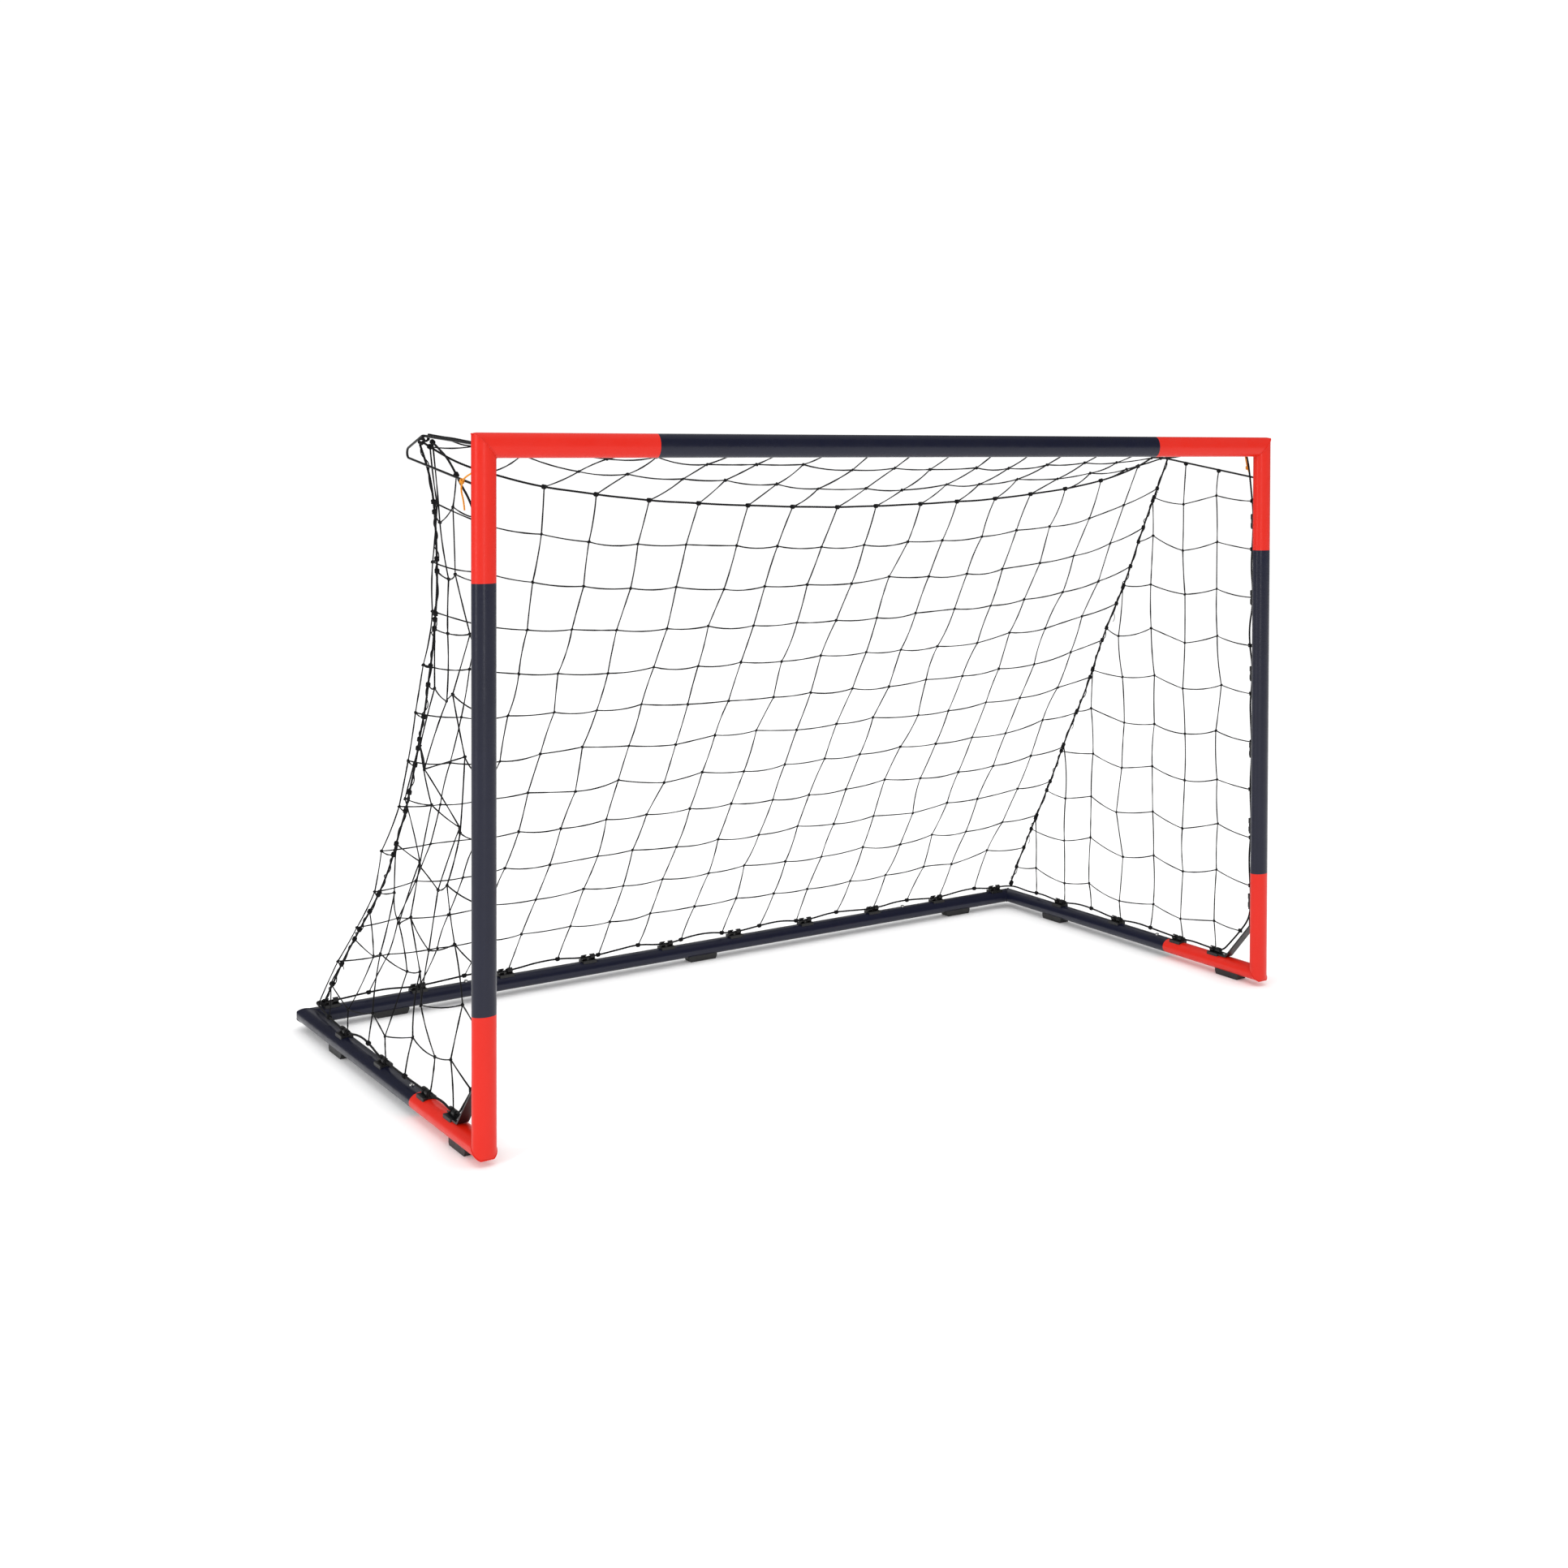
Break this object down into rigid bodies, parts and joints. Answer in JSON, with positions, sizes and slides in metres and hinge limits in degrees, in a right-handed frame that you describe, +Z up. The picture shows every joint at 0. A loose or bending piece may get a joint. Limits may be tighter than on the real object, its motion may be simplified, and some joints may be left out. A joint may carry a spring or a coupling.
{
  "type": "soccer goal",
  "caption": "Small knock-down soccer goal: oval tube frame with a flat base, and a net hung behind the mouth on hoops and clips.",
  "frame": {"origin": "middle of the footprint, on the ground", "axes": "+X along the crossbar, +Y from the mouth to the back rail, +Z up"},
  "size_m": [1.753, 0.873, 1.143],
  "materials": {
    "red_paint": "gloss powder coat",
    "navy_paint": "gloss powder coat",
    "black_paint": "satin",
    "bright_steel": "bright",
    "black_plastic": "satin",
    "foot_plastic": "matt",
    "net": "matt knotted twine",
    "black_rope": "matt braided cord",
    "orange_cord": "matt braided cord"
  },
  "bodies": {
    "frame": {"back_rail": "navy_paint", "bottom_corner_left": "red_paint", "bottom_corner_right": "red_paint", "brace_left": "black_paint", "brace_right": "black_paint", "brace_screws": "bright_steel", "clips_back": "black_plastic", "clips_crossbar": "black_plastic", "clips_post_left": "black_plastic", "clips_post_right": "black_plastic", "clips_side_left": "black_plastic", "clips_side_right": "black_plastic", "crossbar_middle": "navy_paint", "foot_back_corner_left": "foot_plastic", "foot_back_corner_right": "foot_plastic", "foot_back_middle": "foot_plastic", "foot_side_back_left": "foot_plastic", "foot_side_back_right": "foot_plastic", "foot_side_front_left": "foot_plastic", "foot_side_front_right": "foot_plastic", "net_back": "net", "net_hoop_left": "black_paint", "net_hoop_right": "black_paint", "net_roof": "net", "net_side_left": "net", "net_side_right": "net", "post_middle_left": "navy_paint", "post_middle_right": "navy_paint", "rope_base": "black_rope", "rope_mouth_left": "black_rope", "rope_mouth_top": "black_rope", "rope_ridge": "black_rope", "rope_seam_left": "black_rope", "rope_seam_right": "black_rope", "side_rail_left": "navy_paint", "side_rail_right": "navy_paint", "snap_springs": "bright_steel", "tie_left": "orange_cord", "tie_right": "orange_cord", "top_corner_left": "red_paint", "top_corner_right": "red_paint"},
    "snap_button_back_left": {"snap_button_back_left": "bright_steel"},
    "snap_button_back_right": {"snap_button_back_right": "bright_steel"},
    "snap_button_bar_left": {"snap_button_bar_left": "bright_steel"},
    "snap_button_bar_right": {"snap_button_bar_right": "bright_steel"},
    "snap_button_post_high_left": {"snap_button_post_high_left": "bright_steel"},
    "snap_button_post_high_right": {"snap_button_post_high_right": "bright_steel"},
    "snap_button_post_low_left": {"snap_button_post_low_left": "bright_steel"},
    "snap_button_post_low_right": {"snap_button_post_low_right": "bright_steel"},
    "snap_button_side_left": {"snap_button_side_left": "bright_steel"},
    "snap_button_side_right": {"snap_button_side_right": "bright_steel"}
  },
  "joints": [
    {"name": "press_back_left", "type": "slide", "parent": "frame", "child": "snap_button_back_left", "axis": [0, 0, -1], "range_m": [0, 0.0055], "stiffness_N_per_m": 500, "springref_m": -0.004},
    {"name": "press_back_right", "type": "slide", "parent": "frame", "child": "snap_button_back_right", "axis": [0, 0, -1], "range_m": [0, 0.0055], "stiffness_N_per_m": 500, "springref_m": -0.004},
    {"name": "press_bar_left", "type": "slide", "parent": "frame", "child": "snap_button_bar_left", "axis": [0, -1, 0], "range_m": [0, 0.0055], "stiffness_N_per_m": 500, "springref_m": -0.004},
    {"name": "press_bar_right", "type": "slide", "parent": "frame", "child": "snap_button_bar_right", "axis": [0, -1, 0], "range_m": [0, 0.0055], "stiffness_N_per_m": 500, "springref_m": -0.004},
    {"name": "press_post_high_left", "type": "slide", "parent": "frame", "child": "snap_button_post_high_left", "axis": [0, -1, 0], "range_m": [0, 0.0055], "stiffness_N_per_m": 500, "springref_m": -0.004},
    {"name": "press_post_high_right", "type": "slide", "parent": "frame", "child": "snap_button_post_high_right", "axis": [0, -1, 0], "range_m": [0, 0.0055], "stiffness_N_per_m": 500, "springref_m": -0.004},
    {"name": "press_post_low_left", "type": "slide", "parent": "frame", "child": "snap_button_post_low_left", "axis": [0, -1, 0], "range_m": [0, 0.0055], "stiffness_N_per_m": 500, "springref_m": -0.004},
    {"name": "press_post_low_right", "type": "slide", "parent": "frame", "child": "snap_button_post_low_right", "axis": [0, -1, 0], "range_m": [0, 0.0055], "stiffness_N_per_m": 500, "springref_m": -0.004},
    {"name": "press_side_left", "type": "slide", "parent": "frame", "child": "snap_button_side_left", "axis": [0, 0, -1], "range_m": [0, 0.0055], "stiffness_N_per_m": 500, "springref_m": -0.004},
    {"name": "press_side_right", "type": "slide", "parent": "frame", "child": "snap_button_side_right", "axis": [0, 0, -1], "range_m": [0, 0.0055], "stiffness_N_per_m": 500, "springref_m": -0.004}
  ]
}
